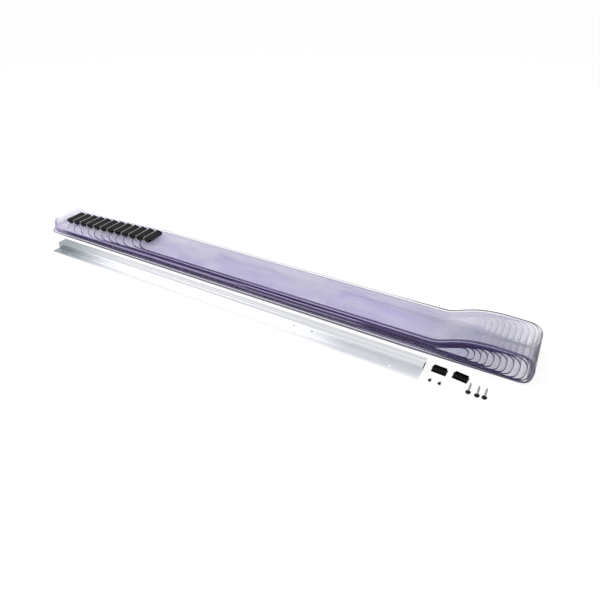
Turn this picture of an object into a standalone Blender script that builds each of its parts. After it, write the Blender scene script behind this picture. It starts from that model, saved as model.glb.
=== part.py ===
"""PVC strip curtain kit, laid out flat: twelve folded strips with their hangers, a mounting rail,
two end caps, two small screws and three wall screws.

Frame: origin at the middle of the rail's fixing face, which lies on the floor. +X runs along the rail
towards the folds of the strips, +Y from the rail to the pack of strips, +Z up. Units are metres.
"""
import math

import bmesh
import bpy
import numpy as np
from mathutils import Matrix, Vector

MM = 0.001
CLEARANCE = 0.3 * MM            # air between pieces that touch
CUT_OVERRUN = 2.0 * MM          # how far a cutter runs past the faces it cuts
MERGE_DISTANCE = 0.01 * MM

# Strips: clear flexible PVC, folded once
STRIP_COUNT = 12
STRIP_WIDTH = 143.0 * MM
STRIP_THICKNESS = 1.2 * MM
STRIP_CORNER_RADIUS = 38.0 * MM
CORNER_STEPS = 6
SIDE_DRIFT = 1.6 * MM           # how far the strips wander sideways in the pack
SIDE_DRIFT_TURN = 2.1           # radians of that wander from one strip to the next
OUTER_SIDE_STEP = 6.0 * MM      # the upper legs of the two outermost strips stand this far out at the back
OUTER_STRIPS = 2
FLOOR_SIDE_STEP = 6.0 * MM      # the outermost lower leg, on the floor, stands this far out at the front
SIDE_TURN_LEAD = 100.0 * MM     # before its nose a strip leaves its upper side place over this length
SIDE_TURN_LENGTH = 300.0 * MM   # past its nose it passes to its lower side place over this length

# Fold: the upper legs rise over the inner loops, then each turns down round its own nose
LOOP_PITCH = 13.3 * MM          # from one nose to the next
OUTER_LOOP_PITCH = 7.5 * MM     # the outermost loops lie closer
INNER_NOSE_X = 1375.0 * MM      # from the first hanger's lower edge to the innermost nose
RISE_HEIGHT = 32.0 * MM
RISE_LENGTH = 63.0 * MM
RISE_LEAD = 88.0 * MM           # the rise starts this far before the innermost nose
RISE_STEP = 8.5 * MM
UPPER_NOSE_STEPS = 8
LOWER_NOSE_STEPS = 6
LOWER_NOSE_EXPONENT = 3.4       # of the superellipse below the tip of a nose, where the turn is tighter
LEG_SAMPLES = 1500              # points of an upper leg among which the fold's touching point is sought
RADIUS_ROUNDS = 50              # halvings of the range in which the fold's radius is sought

# Free ends: they reach past the first hanger and fan out upwards
FREE_END_REACH = 45.0 * MM      # of the innermost strip, past the first hanger's lower edge
FREE_END_STEP = 1.6 * MM        # each strip further out reaches this much further
FREE_END_LIFT = 26.0 * MM       # of the innermost strip; the outermost stays on the floor
FREE_END_CURL = 2.5             # exponent of the lift along the reach
FREE_END_STEPS = 5

# Pack of strips beside the rail
PACK_LEAD = 79.8 * MM           # the first hanger's lower edge lies this far past the rail's end
PACK_GAP = 45.2 * MM            # between the rail's back and the pack's front

# Hangers: two moulded jaws clamped on the upper end of each strip, lying like roof tiles
HANGER_HEIGHT = 23.0 * MM       # along the strip
HANGER_LENGTH = 68.0 * MM       # across the strip
HANGER_THICKNESS = 11.5 * MM
HANGER_PITCH = 33.8 * MM
HANGER_SIDE_SHIFT = 11.5 * MM   # from the middle of the pack towards its back
HANGER_TILT = math.radians(13.0)
HANGER_END_WALL = 2.4 * MM
HANGER_EDGE = 0.7 * MM
HANGER_LEAD_EDGE = 2.0 * MM     # the wider bevel along the closed edge
JAW_BEND_LENGTH = 6.0 * MM      # half the length over which the strip bends down to the pack
PANEL_MARGIN = 3.0 * MM
PANEL_DEPTH = 0.5 * MM
STUD_SPACING_SHARE = 0.75       # of the hanger's length
STUD_RADIUS = 2.5 * MM
STUD_HOLE_RADIUS = 3.0 * MM
BUTTON_RADIUS = 3.4 * MM
BUTTON_HEIGHT = 0.7 * MM
STUD_SIDES = 10

# Mounting rail: one extrusion, a channel with a mouth along its back and a flange along its front
RAIL_LENGTH = 1219.0 * MM
CHANNEL_WIDTH = 33.0 * MM
CHANNEL_HEIGHT = 20.5 * MM
FLANGE_WIDTH = 28.3 * MM
FLANGE_THICKNESS = 2.0 * MM
WALL_THICKNESS = 1.5 * MM
MOUTH_HEIGHT = 6.0 * MM
RAIL_EDGE_RADIUS = 0.8 * MM
RIDGE_WIDTH = 1.6 * MM          # the fine ridges along the channel's top
RIDGE_HEIGHT = 0.25 * MM
RIDGE_PLACE_SHARES = (0.3, 0.62)
GUIDE_GROOVE_FROM_CHANNEL = 8.0 * MM
GUIDE_GROOVE_WIDTH = 1.4 * MM
GUIDE_GROOVE_DEPTH = 0.5 * MM
FIXING_HOLE_RADIUS = 3.5 * MM
FIXING_HOLE_PLACE_SHARES = (-0.443, 0.0, 0.443)
SMALL_HOLE_RADIUS = 2.0 * MM
SMALL_HOLE_X = 284.0 * MM       # the first small hole, from the rail's middle
SMALL_HOLE_SPACING = 50.0 * MM
HOLE_SIDES = 16

# End caps: plugs with a key that fills the channel's mouth
CAP_PLATE_THICKNESS = 2.0 * MM
CAP_PLUG_DEPTH = 6.7 * MM
CAP_PLUG_WALL = 2.0 * MM
CAP_RECESS_DEPTH = 3.6 * MM
CAP_FIT = 0.3 * MM
CAP_CORNER_RADIUS = 1.6 * MM
CAP_PLACES = ((33.0 * MM, 22.8 * MM), (78.9 * MM, 23.4 * MM))      # from the rail's end, and Y
CAP_TURNS = (math.radians(-2.7), math.radians(-6.9))

DOME_STEPS = 4

# Small screws: short pan heads that fit the rail's small holes
SMALL_SCREW = {
    "length": 12.4 * MM,
    "shank_radius": 1.8 * MM,
    "point_length": 2.6 * MM,
    "rim_radius": 3.9 * MM,
    "rim_height": 0.8 * MM,
    "dome_radius": 3.3 * MM,
    "dome_height": 2.6 * MM,
    "recess_reach": 2.0 * MM,
    "recess_width": 0.9 * MM,
    "recess_depth": 1.2 * MM,
    "sides": 16,
}
SMALL_SCREW_PLACES = ((24.0 * MM, -10.1 * MM), (44.9 * MM, -9.8 * MM))      # from the rail's end, and Y
SMALL_SCREW_TURNS = (math.radians(-6.0), math.radians(-6.4))

# Wall screws: coarse self-tapping screws with a washer head
WALL_SCREW = {
    "length": 38.5 * MM,
    "shank_radius": 2.4 * MM,
    "point_length": 8.5 * MM,
    "rim_radius": 5.8 * MM,
    "rim_height": 1.2 * MM,
    "dome_radius": 4.4 * MM,
    "dome_height": 5.0 * MM,
    "recess_reach": 2.7 * MM,
    "recess_width": 1.5 * MM,
    "recess_depth": 2.6 * MM,
    "sides": 20,
}
WALL_SCREW_PLACES = ((102.6 * MM, 19.2 * MM), (120.3 * MM, 18.4 * MM), (135.8 * MM, 20.0 * MM))
WALL_SCREW_TURNS = (math.radians(0.3), math.radians(0.9), math.radians(-0.3))

# Derived sizes
LAYER_PITCH = STRIP_THICKNESS + CLEARANCE
STUD_SPACING = HANGER_LENGTH * STUD_SPACING_SHARE
RAIL_WIDTH = FLANGE_WIDTH + CHANNEL_WIDTH
RAIL_END_X = RAIL_LENGTH / 2
PACK_X = -RAIL_END_X - PACK_LEAD
CHANNEL_FRONT_Y = RAIL_WIDTH / 2 - CHANNEL_WIDTH
PACK_FRONT_Y = RAIL_WIDTH / 2 + PACK_GAP
RISE_START_X = INNER_NOSE_X - RISE_LEAD
OUTERMOST = STRIP_COUNT - 1
HANGER_MIDDLE_Y = STRIP_WIDTH / 2 + HANGER_SIDE_SHIFT
SLOT_HALF = STRIP_THICKNESS / 2 + CLEARANCE


def clear_scene():
    for item in list(bpy.data.objects):
        bpy.data.objects.remove(item, do_unlink=True)


def make_collection(name):
    collection = bpy.data.collections.new(name)
    bpy.context.scene.collection.children.link(collection)
    return collection


def make_material(name, colour, roughness, metallic=0.0, transmission=0.0):
    material = bpy.data.materials.new(name)
    material.use_nodes = True
    shader = material.node_tree.nodes["Principled BSDF"]
    shader.inputs["Base Color"].default_value = (*colour, 1.0)
    shader.inputs["Roughness"].default_value = roughness
    shader.inputs["Metallic"].default_value = metallic
    shader.inputs["Transmission Weight"].default_value = transmission
    return material


def add_object(name, mesh, collection, material=None, parent=None):
    item = bpy.data.objects.new(name, mesh)
    collection.objects.link(item)
    if material:
        mesh.materials.clear()
        mesh.materials.append(material)
    if parent:
        item.parent = parent
    return item


def mesh_from(bm, name):
    bmesh.ops.recalc_face_normals(bm, faces=bm.faces[:])
    mesh = bpy.data.meshes.new(name)
    bm.to_mesh(mesh)
    bm.free()
    return mesh


def box_mesh(name, low, high):
    """A box between two corners."""
    bm = bmesh.new()
    bmesh.ops.create_cube(bm, size=1.0)
    low, high = Vector(low), Vector(high)
    for vert in bm.verts:
        vert.co = Vector(((vert.co[i] + 0.5) * (high[i] - low[i]) + low[i]) for i in range(3))
    return mesh_from(bm, name)


def cylinder_mesh(name, radius, low, high, sides, axis="Z"):
    """A closed cylinder along one axis, from low to high."""
    bm = bmesh.new()
    bmesh.ops.create_cone(bm, cap_ends=True, segments=sides, radius1=radius, radius2=radius, depth=high - low)
    bmesh.ops.translate(bm, verts=bm.verts[:], vec=(0.0, 0.0, (low + high) / 2))
    if axis == "Y":
        bmesh.ops.rotate(bm, verts=bm.verts[:], matrix=Matrix.Rotation(math.radians(-90.0), 3, "X"))
    return mesh_from(bm, name)


def extruded_outline(name, points, length):
    """A closed outline in the XY plane, extruded from z = 0 to z = length, as a welded mesh."""
    curve = bpy.data.curves.new(name, "CURVE")
    curve.dimensions = "2D"
    curve.fill_mode = "BOTH"
    curve.extrude = length / 2
    spline = curve.splines.new("POLY")
    spline.points.add(len(points) - 1)
    for target, point in zip(spline.points, points):
        target.co = (point[0], point[1], 0.0, 1.0)
    spline.use_cyclic_u = True
    carrier = bpy.data.objects.new(name, curve)
    bpy.context.scene.collection.objects.link(carrier)
    bpy.context.view_layer.update()
    evaluated = carrier.evaluated_get(bpy.context.evaluated_depsgraph_get())
    mesh = bpy.data.meshes.new_from_object(evaluated)
    bpy.data.objects.remove(carrier, do_unlink=True)
    bpy.data.curves.remove(curve)
    bm = bmesh.new()
    bm.from_mesh(mesh)
    bmesh.ops.remove_doubles(bm, verts=bm.verts[:], dist=MERGE_DISTANCE)
    bmesh.ops.translate(bm, verts=bm.verts[:], vec=(0.0, 0.0, length / 2))
    bpy.data.meshes.remove(mesh)
    return mesh_from(bm, name)


def rounded_outline(points, radius, steps=3):
    """The outline with each corner turned into an arc, points in order round the outline."""
    rounded = []
    count = len(points)
    for i, corner in enumerate(points):
        corner = Vector(corner)
        before = (Vector(points[i - 1]) - corner).normalized()
        after = (Vector(points[(i + 1) % count]) - corner).normalized()
        half_angle = before.angle(after) / 2
        centre = corner + (before + after).normalized() * radius / math.sin(half_angle)
        reach = radius / math.tan(half_angle)
        start = corner + before * reach - centre
        end = corner + after * reach - centre
        for step in range(steps + 1):
            spoke = start.lerp(end, step / steps).normalized() * radius
            rounded.append(tuple(centre + spoke))
    return rounded


def rectangle(width, depth):
    return [(-width / 2, -depth / 2), (width / 2, -depth / 2), (width / 2, depth / 2), (-width / 2, depth / 2)]


def combine(item, mesh, operation, cutters, matrix=None):
    """Joins or cuts an object with another mesh by a Boolean modifier."""
    tool = add_object(item.name + "_tool_%d" % len(item.modifiers), mesh, cutters, parent=item)
    if matrix:
        tool.matrix_local = matrix
    tool.hide_render = True
    tool.display_type = "WIRE"
    modifier = item.modifiers.new(operation.title(), "BOOLEAN")
    modifier.operation = operation
    modifier.solver = "EXACT"
    modifier.object = tool
    return tool


# Path of each strip, in the pack's own X and Z

def lower_height(level):
    """Centre line of a strip's lower leg; the outermost strip lies on the floor."""
    return (OUTERMOST - level) * LAYER_PITCH + STRIP_THICKNESS / 2


def upper_height(level):
    """Centre line of a strip's upper leg where it lies flat on the pack."""
    return (STRIP_COUNT + level) * LAYER_PITCH + STRIP_THICKNESS / 2


def nose_x(level):
    """Centre line of a strip at the tip of its fold."""
    last_regular = OUTERMOST - OUTER_STRIPS
    regular = min(level, last_regular)
    return INNER_NOSE_X + regular * LOOP_PITCH + (level - regular) * OUTER_LOOP_PITCH


def upper_leg_point(x, level):
    """Point of an upper leg: the innermost leg's rise, offset at right angles to it."""
    run = max(x - RISE_START_X, 0.0) / RISE_LENGTH
    fade = math.exp(-run * run)
    slope = RISE_HEIGHT * 2 * run * fade / RISE_LENGTH
    height = upper_height(0) + RISE_HEIGHT * (1 - fade)
    offset = level * LAYER_PITCH / math.hypot(1.0, slope)
    return np.array([x - slope * offset, height + offset])


def fold_circle(level):
    """Centre, radius and upper touching point of the circle that turns a strip round its nose.

    The circle touches the lower leg and the offset upper leg, and its right side is the nose."""
    legs = [upper_leg_point(x, level) for x in np.linspace(RISE_START_X, nose_x(level), LEG_SAMPLES)]
    legs = np.array(legs)

    def nearest(radius):
        centre = np.array([nose_x(level) - radius, lower_height(level) + radius])
        distances = np.hypot(*(legs - centre).T)
        return centre, distances

    small = STRIP_THICKNESS
    large = upper_height(level) + RISE_HEIGHT - lower_height(level)
    for _ in range(RADIUS_ROUNDS):
        radius = (small + large) / 2
        centre, distances = nearest(radius)
        if distances.min() > radius:
            small = radius
        else:
            large = radius
    return centre, radius, legs[int(distances.argmin())]


def hanger_point(level, along, up):
    """A point of a hanger in the pack's X and Z, from its tilted lower right edge."""
    foot = np.array([level * HANGER_PITCH, (STRIP_COUNT + level) * LAYER_PITCH])
    left = np.array([-math.cos(HANGER_TILT), math.sin(HANGER_TILT)])
    upward = np.array([math.sin(HANGER_TILT), math.cos(HANGER_TILT)])
    return foot + left * along + upward * up


def strip_path(level):
    """Centre line of one strip, from its end in the hanger round the fold to its free end."""
    mid = HANGER_THICKNESS / 2
    end_in_jaw = hanger_point(level, HANGER_HEIGHT - HANGER_END_WALL - CLEARANCE, mid)
    jaw_exit = hanger_point(level, 0.0, mid)
    drop = jaw_exit[1] - upper_height(level)
    bend = np.array([jaw_exit[0] + drop / math.tan(HANGER_TILT), upper_height(level)])
    tilted = np.array([-math.cos(HANGER_TILT), math.sin(HANGER_TILT)])
    before_bend = bend + tilted * JAW_BEND_LENGTH
    after_bend = bend + np.array([JAW_BEND_LENGTH, 0.0])
    at_bend = (before_bend + after_bend) / 4 + bend / 2
    path = [end_in_jaw, before_bend, at_bend, after_bend]

    centre, radius, touch = fold_circle(level)
    x = RISE_START_X
    while x < touch[0] - RISE_STEP / 3:
        path.append(upper_leg_point(x, level))
        x += RISE_STEP
    path.append(touch)
    start = math.atan2(*(touch - centre)[::-1])
    for step in range(1, UPPER_NOSE_STEPS + 1):
        angle = start * (1 - step / UPPER_NOSE_STEPS)
        path.append(centre + radius * np.array([math.cos(angle), math.sin(angle)]))
    for step in range(1, LOWER_NOSE_STEPS + 1):
        angle = math.radians(90.0) * step / LOWER_NOSE_STEPS
        share = np.array([math.cos(angle), math.sin(angle)])
        share /= (share ** LOWER_NOSE_EXPONENT).sum() ** (1 / LOWER_NOSE_EXPONENT)
        path.append(centre + radius * share * (1.0, -1.0))
    reach = FREE_END_REACH + FREE_END_STEP * level
    lift = FREE_END_LIFT * (OUTERMOST - level) / OUTERMOST
    for step in range(FREE_END_STEPS + 1):
        share = step / FREE_END_STEPS
        path.append(np.array([-reach * share, lower_height(level) + lift * share ** FREE_END_CURL]))
    return np.array(path)


def side_drift(level):
    """How far a strip lies towards the back of the pack."""
    return SIDE_DRIFT * math.sin(SIDE_DRIFT_TURN * level)


def side_steps(level):
    """How much further towards the back a strip's upper leg, nose and lower leg lie."""
    upper = OUTER_SIDE_STEP if level > OUTERMOST - OUTER_STRIPS else 0.0
    lower = -FLOOR_SIDE_STEP if level == OUTERMOST else 0.0
    return upper, 0.0, lower


def make_strip(level, pack, material, collection, cutters):
    path = strip_path(level)
    lengths = np.concatenate([[0.0], np.cumsum(np.hypot(*np.diff(path, axis=0).T))])
    total = lengths[-1]
    turns = [math.radians(90.0) * step / CORNER_STEPS for step in range(CORNER_STEPS + 1)]
    corner_rows = [STRIP_CORNER_RADIUS * (1 - math.cos(turn)) for turn in turns]
    rows = set(lengths) | set(corner_rows) | {total - row for row in corner_rows}
    rows = np.array(sorted(rows))
    rows = rows[np.concatenate([[True], np.diff(rows) > STRIP_THICKNESS / 4])]
    rows[-1] = total
    xs = np.interp(rows, lengths, path[:, 0])
    zs = np.interp(rows, lengths, path[:, 1])
    to_end = np.minimum(rows, total - rows)
    in_corner = np.clip(STRIP_CORNER_RADIUS - to_end, 0.0, None)
    insets = STRIP_CORNER_RADIUS - np.sqrt(STRIP_CORNER_RADIUS ** 2 - in_corner ** 2)
    nose = lengths[path[:, 0].argmax()]
    steps = np.interp(rows, [nose - SIDE_TURN_LEAD, nose, nose + SIDE_TURN_LENGTH], side_steps(level))

    bm = bmesh.new()
    bmesh.ops.create_grid(bm, x_segments=len(rows) - 1, y_segments=1, size=1.0)
    for vert in bm.verts:
        row = round((vert.co.x + 1) / 2 * (len(rows) - 1))
        half = STRIP_WIDTH / 2 - insets[row]
        vert.co = (xs[row], math.copysign(half, vert.co.y) + steps[row], zs[row])
    strip = add_object("strip_%02d" % (level + 1), mesh_from(bm, "strip"), collection, material, pack)
    middle = STRIP_WIDTH / 2 + side_drift(level)
    strip.location = (0.0, middle, 0.0)
    solid = strip.modifiers.new("Solidify", "SOLIDIFY")
    solid.thickness = STRIP_THICKNESS
    solid.offset = 0.0
    solid.use_even_offset = True
    for side in (-1, 1):
        hole = cylinder_mesh("stud_hole", STUD_HOLE_RADIUS, 0.0, HANGER_THICKNESS, STUD_SIDES)
        place = Matrix.Translation((stud_x(), side * STUD_SPACING / 2, 0.0))
        combine(strip, hole, "DIFFERENCE", cutters, hanger_matrix(level, HANGER_MIDDLE_Y - middle) @ place)
    return strip


# Hangers, in their own frame: x from -height to 0, z from 0 to thickness

def hanger_matrix(level, y):
    foot = hanger_point(level, 0.0, 0.0)
    return Matrix.Translation((foot[0], y, foot[1])) @ Matrix.Rotation(HANGER_TILT, 4, "Y")


def stud_x():
    return -(HANGER_HEIGHT - HANGER_END_WALL) / 2


def across(points):
    """An outline in X and Z, extruded along the hanger's length."""
    mesh = extruded_outline("jaw", points, HANGER_LENGTH)
    turn = Matrix.Rotation(math.radians(90.0), 4, "X")
    mesh.transform(Matrix.Translation((0.0, HANGER_LENGTH / 2, 0.0)) @ turn)
    return mesh


def make_hanger_base(level, pack, material, collection, cutters):
    floor = HANGER_THICKNESS / 2 - SLOT_HALF
    rim = HANGER_THICKNESS / 2 + SLOT_HALF - CLEARANCE
    inner = -HANGER_HEIGHT + HANGER_END_WALL
    edge = HANGER_EDGE
    outline = [
        (-HANGER_HEIGHT + edge, 0.0),
        (-edge, 0.0),
        (0.0, edge),
        (0.0, floor),
        (inner, floor),
        (inner, rim),
        (-HANGER_HEIGHT, rim),
        (-HANGER_HEIGHT, edge),
    ]
    base = add_object("hanger_%02d_base" % (level + 1), across(outline), collection, material, pack)
    base.matrix_local = hanger_matrix(level, HANGER_MIDDLE_Y)
    for side in (-1, 1):
        socket = cylinder_mesh("socket", STUD_RADIUS + CLEARANCE, -CUT_OVERRUN, floor + CUT_OVERRUN, STUD_SIDES)
        combine(base, socket, "DIFFERENCE", cutters, Matrix.Translation((stud_x(), side * STUD_SPACING / 2, 0.0)))
    return base


def make_hanger_cover(level, pack, material, collection, cutters):
    underside = HANGER_THICKNESS / 2 + SLOT_HALF
    edge = HANGER_EDGE
    outline = [
        (-HANGER_HEIGHT, underside),
        (0.0, underside),
        (0.0, HANGER_THICKNESS - edge),
        (-edge, HANGER_THICKNESS),
        (-HANGER_HEIGHT + HANGER_LEAD_EDGE, HANGER_THICKNESS),
        (-HANGER_HEIGHT, HANGER_THICKNESS - HANGER_LEAD_EDGE),
    ]
    cover = add_object("hanger_%02d_cover" % (level + 1), across(outline), collection, material, pack)
    cover.matrix_local = hanger_matrix(level, HANGER_MIDDLE_Y)
    half = HANGER_LENGTH / 2 - PANEL_MARGIN
    low = (-HANGER_HEIGHT + PANEL_MARGIN, -half, HANGER_THICKNESS - PANEL_DEPTH)
    high = (-PANEL_MARGIN, half, HANGER_THICKNESS + CUT_OVERRUN)
    combine(cover, box_mesh("panel", low, high), "DIFFERENCE", cutters)
    for side in (-1, 1):
        place = Matrix.Translation((stud_x(), side * STUD_SPACING / 2, 0.0))
        stud = cylinder_mesh("stud", STUD_RADIUS, CLEARANCE, HANGER_THICKNESS - PANEL_DEPTH * 2, STUD_SIDES)
        combine(cover, stud, "UNION", cutters, place)
        button_top = HANGER_THICKNESS - PANEL_DEPTH + BUTTON_HEIGHT
        button = cylinder_mesh("button", BUTTON_RADIUS, underside + CLEARANCE, button_top, STUD_SIDES)
        combine(cover, button, "UNION", cutters, place)
    return cover


# Mounting rail, along X

def ridge(outline, y, height):
    """Adds one fine ridge to an outline that runs towards -Y along the channel's top."""
    outline.append((y + RIDGE_WIDTH / 2, height))
    outline.append((y + RIDGE_WIDTH / 4, height + RIDGE_HEIGHT))
    outline.append((y - RIDGE_WIDTH / 4, height + RIDGE_HEIGHT))
    outline.append((y - RIDGE_WIDTH / 2, height))


def rail_outline():
    """Cross-section in Y and Z, as one C with a flange."""
    front = -RAIL_WIDTH / 2
    back = RAIL_WIDTH / 2
    top = CHANNEL_HEIGHT - RIDGE_HEIGHT
    mouth_low = (CHANNEL_HEIGHT - MOUTH_HEIGHT) / 2
    mouth_high = (CHANNEL_HEIGHT + MOUTH_HEIGHT) / 2
    inner_back = back - WALL_THICKNESS
    inner_front = CHANNEL_FRONT_Y + WALL_THICKNESS
    inner_top = top - WALL_THICKNESS
    edge = RAIL_EDGE_RADIUS
    outline = [
        (front + edge, 0.0),
        (back - edge, 0.0),
        (back, edge),
        (back, mouth_low),
        (inner_back, mouth_low),
        (inner_back, FLANGE_THICKNESS),
        (inner_front, FLANGE_THICKNESS),
        (inner_front, inner_top),
        (inner_back, inner_top),
        (inner_back, mouth_high),
        (back, mouth_high),
        (back, top - edge),
        (back - edge, top),
    ]
    for share in RIDGE_PLACE_SHARES:
        ridge(outline, back - share * CHANNEL_WIDTH, top)
    groove_y = CHANNEL_FRONT_Y - GUIDE_GROOVE_FROM_CHANNEL
    outline += [
        (CHANNEL_FRONT_Y + edge, top),
        (CHANNEL_FRONT_Y, top - edge),
        (CHANNEL_FRONT_Y, FLANGE_THICKNESS),
        (groove_y + GUIDE_GROOVE_WIDTH / 2, FLANGE_THICKNESS),
        (groove_y, FLANGE_THICKNESS - GUIDE_GROOVE_DEPTH),
        (groove_y - GUIDE_GROOVE_WIDTH / 2, FLANGE_THICKNESS),
        (front + edge, FLANGE_THICKNESS),
        (front, FLANGE_THICKNESS - edge),
        (front, edge),
    ]
    return outline


def make_rail(material, collection, cutters):
    mesh = extruded_outline("mounting_rail", rail_outline(), RAIL_LENGTH)
    turn = Matrix(((0, 0, 1, -RAIL_LENGTH / 2), (1, 0, 0, 0), (0, 1, 0, 0), (0, 0, 0, 1)))
    mesh.transform(turn)
    rail = add_object("mounting_rail", mesh, collection, material)
    flange_middle = CHANNEL_FRONT_Y - FLANGE_WIDTH / 2 - GUIDE_GROOVE_WIDTH
    for share in FIXING_HOLE_PLACE_SHARES:
        hole = cylinder_mesh("fixing_hole", FIXING_HOLE_RADIUS, -CUT_OVERRUN, FLANGE_THICKNESS + CUT_OVERRUN,
                             HOLE_SIDES)
        combine(rail, hole, "DIFFERENCE", cutters, Matrix.Translation((share * RAIL_LENGTH, flange_middle, 0.0)))
    for number in range(2):
        hole = cylinder_mesh("small_hole", SMALL_HOLE_RADIUS, -CUT_OVERRUN, WALL_THICKNESS + CUT_OVERRUN,
                             HOLE_SIDES, "Y")
        x = SMALL_HOLE_X + number * SMALL_HOLE_SPACING
        combine(rail, hole, "DIFFERENCE", cutters,
                Matrix.Translation((x, CHANNEL_FRONT_Y, CHANNEL_HEIGHT / 2)))
    return rail


# End caps, lying on their outer plate with the plug upwards

def make_end_cap(number, material, collection, cutters):
    plate = extruded_outline("plate", rounded_outline(rectangle(CHANNEL_WIDTH, CHANNEL_HEIGHT), CAP_CORNER_RADIUS),
                             CAP_PLATE_THICKNESS)
    cap = add_object("end_cap_%d" % (number + 1), plate, collection, material)
    cap.location = (RAIL_END_X + CAP_PLACES[number][0], CAP_PLACES[number][1], 0.0)
    cap.rotation_euler = (0.0, 0.0, CAP_TURNS[number])
    plug_width = CHANNEL_WIDTH - 2 * WALL_THICKNESS - 2 * CAP_FIT
    plug_height = CHANNEL_HEIGHT - RIDGE_HEIGHT - WALL_THICKNESS - FLANGE_THICKNESS - 2 * CAP_FIT
    top = CAP_PLATE_THICKNESS + CAP_PLUG_DEPTH
    plug = extruded_outline("plug", rounded_outline(rectangle(plug_width, plug_height), CAP_CORNER_RADIUS),
                            top - CAP_PLATE_THICKNESS / 2)
    combine(cap, plug, "UNION", cutters, Matrix.Translation((0.0, 0.0, CAP_PLATE_THICKNESS / 2)))
    key_half = MOUTH_HEIGHT / 2 - CAP_FIT
    key_low = (-CHANNEL_WIDTH / 2, -key_half, CAP_PLATE_THICKNESS / 2)
    key_high = (-plug_width / 2 + CAP_PLUG_WALL / 2, key_half, top - CAP_FIT)
    combine(cap, box_mesh("key", key_low, key_high), "UNION", cutters)
    recess_outline = rectangle(plug_width - 2 * CAP_PLUG_WALL, plug_height - 2 * CAP_PLUG_WALL)
    recess = extruded_outline("recess", recess_outline, CAP_RECESS_DEPTH + CUT_OVERRUN)
    combine(cap, recess, "DIFFERENCE", cutters, Matrix.Translation((0.0, 0.0, top - CAP_RECESS_DEPTH)))
    return cap


# Screws, turned about Z with the tip at the origin and the head upwards

def screw_profile(size):
    """Half outline as radius and height, from the top of the head down to the tip."""
    seat = size["length"]
    rim_top = seat + size["rim_height"]
    rim = size["rim_radius"]
    bevel = size["rim_height"] / 4
    dome = size["dome_height"] - size["rim_height"]
    profile = []
    for step in range(DOME_STEPS + 1):
        angle = math.radians(90.0) * (1 - step / DOME_STEPS)
        profile.append((size["dome_radius"] * math.cos(angle), rim_top + dome * math.sin(angle)))
    profile += [
        (rim - bevel, rim_top),
        (rim, rim_top - bevel),
        (rim, seat + bevel),
        (rim - bevel, seat),
        (size["shank_radius"], seat),
        (size["shank_radius"], size["point_length"]),
        (0.0, 0.0),
    ]
    return profile


def make_screw(name, size, place, turn, material, collection, cutters):
    bm = bmesh.new()
    line = [bm.verts.new((radius, 0.0, height)) for radius, height in screw_profile(size)]
    for upper, lower in zip(line, line[1:]):
        bm.edges.new((upper, lower))
    mesh = bpy.data.meshes.new(name)
    bm.to_mesh(mesh)
    bm.free()
    screw = add_object(name, mesh, collection, material)
    lathe = screw.modifiers.new("Screw", "SCREW")
    lathe.steps = size["sides"]
    lathe.render_steps = size["sides"]
    lathe.use_merge_vertices = True
    lathe.merge_threshold = MERGE_DISTANCE
    lathe.use_smooth_shade = True
    top = size["length"] + size["dome_height"]
    reach = size["recess_reach"]
    half = size["recess_width"] / 2
    for reach_x, reach_y in ((reach, half), (half, reach)):
        low = (-reach_x, -reach_y, top - size["recess_depth"])
        high = (reach_x, reach_y, top + CUT_OVERRUN)
        combine(screw, box_mesh("recess", low, high), "DIFFERENCE", cutters)
    run = size["length"] - size["point_length"]
    tilt = math.atan((size["rim_radius"] - size["shank_radius"]) / run)
    rise = size["shank_radius"] / math.cos(tilt) - size["point_length"] * math.sin(tilt)
    screw.location = (RAIL_END_X + place[0], place[1], rise)
    screw.rotation_euler = (math.radians(90.0) - tilt, 0.0, turn)
    return screw


def build():
    clear_scene()
    parts = make_collection("pvc_strip_curtain_kit")
    cutters = make_collection("cutters")
    pvc = make_material("clear_pvc", (0.55, 0.48, 0.78), 0.12, transmission=0.9)
    moulding = make_material("black_moulding", (0.02, 0.02, 0.022), 0.4)
    aluminium = make_material("aluminium", (0.78, 0.79, 0.8), 0.32, metallic=1.0)
    steel = make_material("zinc_steel", (0.62, 0.61, 0.6), 0.25, metallic=1.0)

    pack = bpy.data.objects.new("pack_frame", None)
    parts.objects.link(pack)
    pack.location = (PACK_X, PACK_FRONT_Y, 0.0)
    for level in range(STRIP_COUNT):
        make_strip(level, pack, pvc, parts, cutters)
        make_hanger_base(level, pack, moulding, parts, cutters)
        make_hanger_cover(level, pack, moulding, parts, cutters)

    make_rail(aluminium, parts, cutters)
    for number in range(2):
        make_end_cap(number, moulding, parts, cutters)
    for number, (place, turn) in enumerate(zip(SMALL_SCREW_PLACES, SMALL_SCREW_TURNS)):
        make_screw("small_screw_%d" % (number + 1), SMALL_SCREW, place, turn, steel, parts, cutters)
    for number, (place, turn) in enumerate(zip(WALL_SCREW_PLACES, WALL_SCREW_TURNS)):
        make_screw("wall_screw_%d" % (number + 1), WALL_SCREW, place, turn, steel, parts, cutters)
    bpy.context.view_layer.update()


build()
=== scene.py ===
"""Looks of the PVC strip curtain kit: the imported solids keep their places, the strips and the screws
are modelled again in finer form, and every piece gets its material."""

import math

import bmesh
import bpy
import numpy as np
from mathutils import Matrix, Vector


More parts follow.
